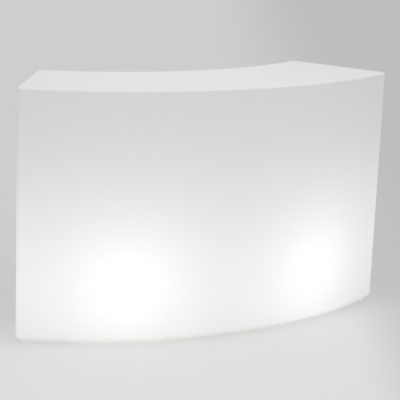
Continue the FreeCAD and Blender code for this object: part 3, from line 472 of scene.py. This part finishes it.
def screw_thread(angles, radius, depth, pitch, low, top):
    """A right-hand thread. Its phase is the level in pitches, less the angle in turns, and a crest lies
    at each whole number. The groove is the way from the nearest crest, doubled, times the flank, less
    the flat of the crest, kept from 0 to 1. The radius falls by depth times the groove, which fades out
    half a pitch from both ends."""
    levels = np.linspace(low, top, int(round((top - low) / pitch * THREAD_ROWS)) + 1)[:, None]
    phase = (levels / pitch - angles / (2 * np.pi)) % 1
    groove = np.clip((1 - np.abs(2 * phase - 1)) * THREAD_FLANK - THREAD_CREST, 0, 1)
    fade = np.clip(np.minimum(levels - low, top - levels) / (pitch / 2), 0, 1)
    return radius - depth * groove * fade, levels


def turned_piece(name, grids, material, body, replaced):
    """A piece from grids of points, each closed round its columns, that takes the place of one CAD node.
    Rings that fall on one point are merged, and the sides turned outwards."""
    points, faces, count = [], [], 0
    for grid in grids:
        rows, columns = grid.shape[:2]
        row, column = np.meshgrid(np.arange(rows - 1), np.arange(columns), indexing="ij")
        here = count + row * columns + column
        beside = count + row * columns + (column + 1) % columns
        faces.append(np.stack([here, beside, beside + columns, here + columns], axis=-1).reshape(-1, 4))
        points.append(grid.reshape(-1, 3))
        count += rows * columns
    mesh = bpy.data.meshes.new(name)
    mesh.from_pydata(np.vstack(points).tolist(), [], np.vstack(faces).tolist())
    shape = bmesh.new()
    shape.from_mesh(mesh)
    bmesh.ops.remove_doubles(shape, verts=shape.verts, dist=SAME_POINT)
    bmesh.ops.dissolve_degenerate(shape, edges=shape.edges, dist=NO_EDGE)
    bmesh.ops.recalc_face_normals(shape, faces=shape.faces)
    shape.to_mesh(mesh)
    shape.free()
    mesh.shade_smooth()
    mesh.set_sharp_from_angle(angle=SHARP_EDGE)
    mesh.materials.append(material)
    piece = bpy.data.objects.new(name, mesh)
    bpy.context.scene.collection.objects.link(piece)
    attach(piece, body)
    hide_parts(replaced)


zinc, place = new_material("zinc_plating", Metallic=1.0)
place.noise(ZINC_TINTS, detail=3.0).colours(ZINC_BLUE, ZINC_YELLOW).drives("Base Color")
place.noise(ZINC_MATT, detail=3.0).between(*ZINC_ROUGHNESS).drives("Roughness")
place.noise(ZINC_GRAIN).bump(ZINC_GRAIN_DEPTH).drives("Normal")
angles = around(STEM_COLUMNS)
for name in [name for name in nodes if name.startswith("foot_stem_")]:
    low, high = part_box(name)
    stem = turned(
        upright_axis(low, high),
        angles,
        (0, low.z),
        (COLLAR_RADIUS - COLLAR_EDGE, low.z),
        (COLLAR_RADIUS, low.z + COLLAR_EDGE),
        (COLLAR_RADIUS, COLLAR_TOP),
        (STEM_RADIUS, COLLAR_TOP),
        (STEM_RADIUS, HEXAGON_LOW),
        *hexagon_head(angles, HEXAGON_FLATS, HEXAGON_LOW, HEXAGON_TOP),
        (STEM_RADIUS, HEXAGON_TOP),
        screw_thread(angles, STEM_RADIUS, STEM_THREAD_DEPTH, STEM_PITCH, HEXAGON_TOP, high.z - STEM_TIP),
        (STEM_RADIUS - STEM_TIP, high.z),
        (0, high.z),
    )
    turned_piece(name.replace("foot_", "threaded_"), [stem], zinc, name, name)


# ---- Brass inserts and contacts ----------------------------------------------------------------
# Sleeves of brass set in the mould before the powder, so that the plastic grips their waists, and the
# thread and contact of each lamp holder. Fine rings from the tool that turned them run round them.

BRASS_BRIGHT = (0.80, 0.61, 0.30, 1)
BRASS_TARNISHED = (0.56, 0.40, 0.20, 1)
BRASS_ROUGHNESS = 0.18
TARNISH = 160.0
TARNISH_SHOWS = (0.45, 0.75)
TARNISH_ROUGHNESS = 0.15
TOOL_RINGS = (25, 25, 5200)
TOOL_RING_DEPTH = 0.00004
TOOL_RING_ROUGHNESS = 0.12
brass, place = new_material("turned_brass", Metallic=1.0)
rings = place.noise(TOOL_RINGS)
tarnish = place.noise(TARNISH, detail=3.0).step(*TARNISH_SHOWS)
tarnish.colours(BRASS_BRIGHT, BRASS_TARNISHED).drives("Base Color")
rougher = rings * TOOL_RING_ROUGHNESS + tarnish * TARNISH_ROUGHNESS
(rougher + BRASS_ROUGHNESS).drives("Roughness")
rings.bump(TOOL_RING_DEPTH).drives("Normal")
finished(["foot_inserts"], brass)
for side in ("left", "right"):
    finished([side + "_" + part for part in ("cover_inserts", "holder_thread", "holder_contact")], brass)


# ---- Lamp covers and seals ---------------------------------------------------------------------
# A grey moulded disc closes each lamp opening from below, with a black rubber ring between it and
# the counter. The disc's skin has the sandy grain of a spark-eroded mould.

COVER_DARK = (0.50, 0.51, 0.51, 1)
COVER_LIGHT = (0.56, 0.57, 0.57, 1)
COVER_FLOW = 14.0
COVER_ROUGHNESS = (0.46, 0.54)
COVER_GRAIN = 1800.0
COVER_GRAIN_DEPTH = 0.00008
RUBBER_BLACK = (0.018, 0.018, 0.018, 1)
RUBBER_BLOOMED = (0.060, 0.060, 0.058, 1)
RUBBER_BLOOM = 60.0
RUBBER_BLOOM_SHOWS = (0.40, 0.80)
RUBBER_ROUGHNESS = (0.65, 0.80)
RUBBER_GRAIN = 1300.0
RUBBER_GRAIN_DEPTH = 0.00004
cover_plastic, place = new_material("cover_plastic", IOR=1.5)
flow = place.noise(COVER_FLOW, detail=3.0)
flow.colours(COVER_DARK, COVER_LIGHT).drives("Base Color")
flow.between(*COVER_ROUGHNESS).drives("Roughness")
place.noise(COVER_GRAIN).bump(COVER_GRAIN_DEPTH).drives("Normal")
rubber, place = new_material("seal_rubber", IOR=1.45)
bloom = place.noise(RUBBER_BLOOM, detail=4.0).step(*RUBBER_BLOOM_SHOWS)
bloom.colours(RUBBER_BLACK, RUBBER_BLOOMED).drives("Base Color")
bloom.between(*RUBBER_ROUGHNESS).drives("Roughness")
place.noise(RUBBER_GRAIN).bump(RUBBER_GRAIN_DEPTH).drives("Normal")
for side in ("left", "right"):
    finished([side + "_lamp_cover"], cover_plastic)
    finished([side + "_cover_gasket", side + "_gland_seal"], rubber)


# ---- Cover and bracket screws ------------------------------------------------------------------
# Zinc-plated pan heads with a cross recess: four M5 hold each cover in the inserts above it, and two
# M4 go up through the cover into the feet of the lamp bracket.

SCREW_COLUMNS = 32
SCREW_TIP = 0.0005
COVER_SCREW_RADIUS = 0.00245
COVER_SCREW_PITCH = 0.0008
BRACKET_SCREW_RADIUS = 0.00195
BRACKET_SCREW_PITCH = 0.0007
DEPTH_PER_PITCH = 0.61
HEAD_REACH = 1.9
HEAD_CURVE = ((1.15, 0), (1.5, 0.10), (1.78, 0.35), (HEAD_REACH, 0.62))
RECESS_BETWEEN = 0.35
RECESS_ARM = 0.60
RECESS_SLOPE = 1.6
RECESS_WAIST = 0.3
RECESS_FLOOR = 0.55
RECESS_WALL_DEPTH = 0.68
RECESS_DEPTH = 0.75


def pan_screw(axis, angles, radius, pitch, head_low, seat, tip):
    """A pan-head screw, head down. The recess is a star: its edge lies at 0.35 of the shank's radius
    and stands out by 0.60 more on four arms, where 1.6 times the cosine of four times the angle, less
    0.3, goes from 0 to 1. Its walls close in towards its floor."""
    arm = np.clip(RECESS_SLOPE * np.cos(4 * angles) - RECESS_WAIST, 0, 1)
    star = radius * (RECESS_BETWEEN + RECESS_ARM * arm)
    drop = seat - head_low
    return turned(
        axis,
        angles,
        (0, head_low + RECESS_DEPTH * drop),
        (star * RECESS_FLOOR, head_low + RECESS_WALL_DEPTH * drop),
        (star, head_low),
        *[(reach * radius, head_low + share * drop) for reach, share in HEAD_CURVE],
        (HEAD_REACH * radius, seat),
        (radius, seat),
        screw_thread(angles, radius, DEPTH_PER_PITCH * pitch, pitch, seat, tip - SCREW_TIP),
        (radius - SCREW_TIP, tip),
        (0, tip),
    )


def screw_group(name, seat, radius, pitch, rows):
    """A node's screws as one piece. They stand at the corners of the node's box if they are two rows,
    and at the ends of its middle line if they are one."""
    low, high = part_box(name)
    reach = HEAD_REACH * radius
    across = (low.x + reach, high.x - reach)
    back = (low.y + reach, high.y - reach) if rows == 2 else ((low.y + high.y) / 2,)
    spots = [(x, y) for x in across for y in back]
    angles = around(SCREW_COLUMNS)
    screws = [pan_screw(spot, angles, radius, pitch, low.z, seat, high.z) for spot in spots]
    turned_piece(name + "_threaded", screws, zinc, "counter", name)


for side in ("left", "right"):
    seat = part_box(side + "_lamp_cover")[0].z
    screw_group(side + "_cover_screws", seat, COVER_SCREW_RADIUS, COVER_SCREW_PITCH, rows=2)
    screw_group(side + "_bracket_screws", seat, BRACKET_SCREW_RADIUS, BRACKET_SCREW_PITCH, rows=1)


# ---- Lamp brackets -----------------------------------------------------------------------------
# A strap of galvanised steel folded into a table for each lamp holder. The zinc has set in flat
# crystals, which show as a faint patchwork.

CRYSTAL_DARK = (0.52, 0.53, 0.54, 1)
CRYSTAL_LIGHT = (0.66, 0.67, 0.68, 1)
CRYSTALS = 230.0
CRYSTAL_ROUGHNESS = (0.28, 0.50)
STRAP_GRAIN = 800.0
STRAP_GRAIN_DEPTH = 0.00002
galvanised, place = new_material("galvanised_strap", Metallic=1.0)
crystals = place.node("TexVoronoi", {}, {"Vector": place, "Scale": CRYSTALS}, output=1)
shade = crystals.node("SeparateColor", {}, {0: crystals})
shade.colours(CRYSTAL_DARK, CRYSTAL_LIGHT).drives("Base Color")
shade.between(*CRYSTAL_ROUGHNESS).drives("Roughness")
place.noise(STRAP_GRAIN).bump(STRAP_GRAIN_DEPTH).drives("Normal")
finished(["left_lamp_bracket", "right_lamp_bracket"], galvanised)


# ---- Lamp holders ------------------------------------------------------------------------------
# An E27 holder stands on each bracket: a black moulded shell, a ceramic block in it, the brass thread
# and contact, and a hollow threaded bolt with a hexagon head that clamps it to the strap.

PHENOLIC_BLACK = (0.012, 0.010, 0.009, 1)
PHENOLIC_BROWN = (0.030, 0.024, 0.021, 1)
PHENOLIC_SWIRLS = 70.0
PHENOLIC_ROUGHNESS = (0.16, 0.28)
PHENOLIC_GRAIN = 500.0
PHENOLIC_GRAIN_DEPTH = 0.00002
CERAMIC_CREAM = (0.84, 0.82, 0.76, 1)
CERAMIC_SPECK = (0.55, 0.51, 0.45, 1)
CERAMIC_SPECKS = 1100.0
CERAMIC_SPECKS_SHOW = (0.66, 0.72)
CERAMIC_CLOUDS = 200.0
CERAMIC_ROUGHNESS = (0.50, 0.65)
CERAMIC_GRAIN = 900.0
CERAMIC_GRAIN_DEPTH = 0.00006
NIPPLE_BORE = 0.0035
NIPPLE_RADIUS = 0.005
NIPPLE_HEAD = 0.003
NIPPLE_FLATS = 0.014
NIPPLE_THREAD_DEPTH = 0.0006
NIPPLE_PITCH = 0.001
NIPPLE_EDGE = 0.0003
phenolic, place = new_material("holder_plastic", IOR=1.6)
swirl = place.noise(PHENOLIC_SWIRLS, detail=4.0)
swirl.colours(PHENOLIC_BLACK, PHENOLIC_BROWN).drives("Base Color")
swirl.between(*PHENOLIC_ROUGHNESS).drives("Roughness")
place.noise(PHENOLIC_GRAIN, detail=1.0).bump(PHENOLIC_GRAIN_DEPTH).drives("Normal")
ceramic, place = new_material("steatite", IOR=1.6)
specks = place.noise(CERAMIC_SPECKS).step(*CERAMIC_SPECKS_SHOW)
specks.colours(CERAMIC_CREAM, CERAMIC_SPECK).drives("Base Color")
place.noise(CERAMIC_CLOUDS).between(*CERAMIC_ROUGHNESS).drives("Roughness")
place.noise(CERAMIC_GRAIN, detail=3.0).bump(CERAMIC_GRAIN_DEPTH).drives("Normal")
angles = around(STEM_COLUMNS)
for side in ("left", "right"):
    finished([side + "_holder_body"], phenolic)
    finished([side + "_holder_block"], ceramic)
    name = side + "_holder_nipple"
    low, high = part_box(name)
    seat = low.z + NIPPLE_HEAD
    end = high.z - NIPPLE_EDGE
    nipple = turned(
        upright_axis(low, high),
        angles,
        (NIPPLE_BORE, low.z),
        *hexagon_head(angles, NIPPLE_FLATS, low.z, seat),
        (NIPPLE_RADIUS, seat),
        screw_thread(angles, NIPPLE_RADIUS, NIPPLE_THREAD_DEPTH, NIPPLE_PITCH, seat, end),
        (NIPPLE_RADIUS - NIPPLE_EDGE, high.z),
        (NIPPLE_BORE, high.z),
        (NIPPLE_BORE, low.z),
    )
    turned_piece(side + "_nipple_threaded", [nipple], zinc, "counter", name)


# ---- Bulbs -------------------------------------------------------------------------------------
# Globe lamps with an E27 cap: a thin aluminium shell rolled into a round thread, a black glass ring
# and a solder button at its foot, a white plastic neck, and an opal globe that glows all over.

CAP_DULL = (0.74, 0.74, 0.75, 1)
CAP_BRIGHT = (0.86, 0.86, 0.86, 1)
CAP_RUBBED = 400.0
CAP_ROUGHNESS = (0.22, 0.42)
CAP_BUTTON = ((0, 0), (0.0035, 0), (0.0045, 0.0006), (0.005, 0.0015))
CAP_CONE_FOOT = 0.7
CAP_CONE_LOW = 0.0025
CAP_CONE_TOP = 0.006
CAP_ROWS = 60
CAP_PITCH = 0.003629
CAP_THREAD_DEPTH = 0.0011
CAP_THREAD_FADE = 0.002
GLASS_BLACK = (0.01, 0.01, 0.012, 1)
GLASS_LOW = (0.0016, 0.0018)
GLASS_TOP = (0.0058, 0.0056)
GLASS_SMOOTHER = 0.15
NECK_DARK = (0.83, 0.83, 0.82, 1)
NECK_LIGHT = (0.87, 0.87, 0.86, 1)
NECK_FLOW = 40.0
NECK_ROUGHNESS = (0.25, 0.35)
OPAL_WAIST = (0.80, 0.80, 0.78, 1)
OPAL_WHITE = (0.90, 0.90, 0.88, 1)
OPAL_WAIST_LIGHT = (0.30, 0.28, 0.24, 1)
OPAL_LIGHT = (0.38, 0.37, 0.33, 1)
OPAL_WAIST_TOP = 0.035
OPAL_CLOUDS = 60.0
OPAL_ROUGHNESS = (0.22, 0.30)
aluminium, place = new_material("bulb_cap_metal")
cap_level = place.axes()[2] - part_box("left_bulb_cap")[0].z
glass_ring = cap_level.step(*GLASS_LOW) * cap_level.step(*GLASS_TOP)
rub = place.noise(CAP_RUBBED, detail=3.0)
glass_ring.colours(rub.colours(CAP_DULL, CAP_BRIGHT), GLASS_BLACK).drives("Base Color")
(1 - glass_ring).drives("Metallic")
(rub.between(*CAP_ROUGHNESS) - glass_ring * GLASS_SMOOTHER).drives("Roughness")
neck_plastic, place = new_material("bulb_neck", IOR=1.5)
flow = place.noise(NECK_FLOW)
flow.colours(NECK_DARK, NECK_LIGHT).drives("Base Color")
flow.between(*NECK_ROUGHNESS).drives("Roughness")
opal, place = new_material("bulb_opal", IOR=1.5, Emission_Strength=1.0)
above_waist = (place.axes()[2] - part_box("left_bulb_globe")[0].z).step(0.0, OPAL_WAIST_TOP)
above_waist.colours(OPAL_WAIST_LIGHT, OPAL_LIGHT).drives("Emission Color")
above_waist.colours(OPAL_WAIST, OPAL_WHITE).drives("Base Color")
place.noise(OPAL_CLOUDS).between(*OPAL_ROUGHNESS).drives("Roughness")


def rolled_thread(angles, radius, low, thread_low, top):
    """The round thread of a cap: the radius less its depth times half of 1 minus the cosine of the turn,
    which is the level above the cap's foot in pitches, less the angle. It fades out at both ends."""
    levels = np.linspace(thread_low, top, CAP_ROWS)[:, None]
    turns = (levels - low) / CAP_PITCH - angles / (2 * np.pi)
    fade = np.clip(np.minimum(levels - thread_low, top - levels) / CAP_THREAD_FADE, 0, 1)
    return radius - CAP_THREAD_DEPTH * fade * (0.5 - 0.5 * np.cos(2 * np.pi * turns)), levels


for side in ("left", "right"):
    finished([side + "_bulb_base"], neck_plastic)
    finished([side + "_bulb_globe"], opal)
    name = side + "_bulb_cap"
    low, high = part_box(name)
    radius = (high.x - low.x) / 2
    thread_low = low.z + CAP_CONE_TOP
    cap = turned(
        upright_axis(low, high),
        angles,
        *[(button, low.z + level) for button, level in CAP_BUTTON],
        (CAP_CONE_FOOT * radius, low.z + CAP_CONE_LOW),
        (radius, thread_low),
        rolled_thread(angles, radius, low.z, thread_low, high.z),
        (0, high.z),
    )
    turned_piece(side + "_cap_rolled", [cap], aluminium, "counter", name)


# ---- Cable glands ------------------------------------------------------------------------------
# An M16 gland of grey nylon in each cover: a body with a hexagon collar, a lock nut above, and below
# a domed nut that would close the rubber sleeve on the cable. A headed plug keeps it shut.

GLAND_DARK = (0.27, 0.28, 0.29, 1)
GLAND_LIGHT = (0.33, 0.34, 0.35, 1)
GLAND_FLOW = 50.0
GLAND_ROUGHNESS = (0.38, 0.50)
GLAND_GRAIN = 1400.0
GLAND_GRAIN_DEPTH = 0.00003
gland_nylon, place = new_material("gland_nylon", IOR=1.53)
flow = place.noise(GLAND_FLOW, detail=3.0)
flow.colours(GLAND_DARK, GLAND_LIGHT).drives("Base Color")
flow.between(*GLAND_ROUGHNESS).drives("Roughness")
place.noise(GLAND_GRAIN, detail=1.0).bump(GLAND_GRAIN_DEPTH).drives("Normal")
for side in ("left", "right"):
    finished([side + "_gland_" + part for part in ("body", "nut", "dome", "stopper")], gland_nylon)
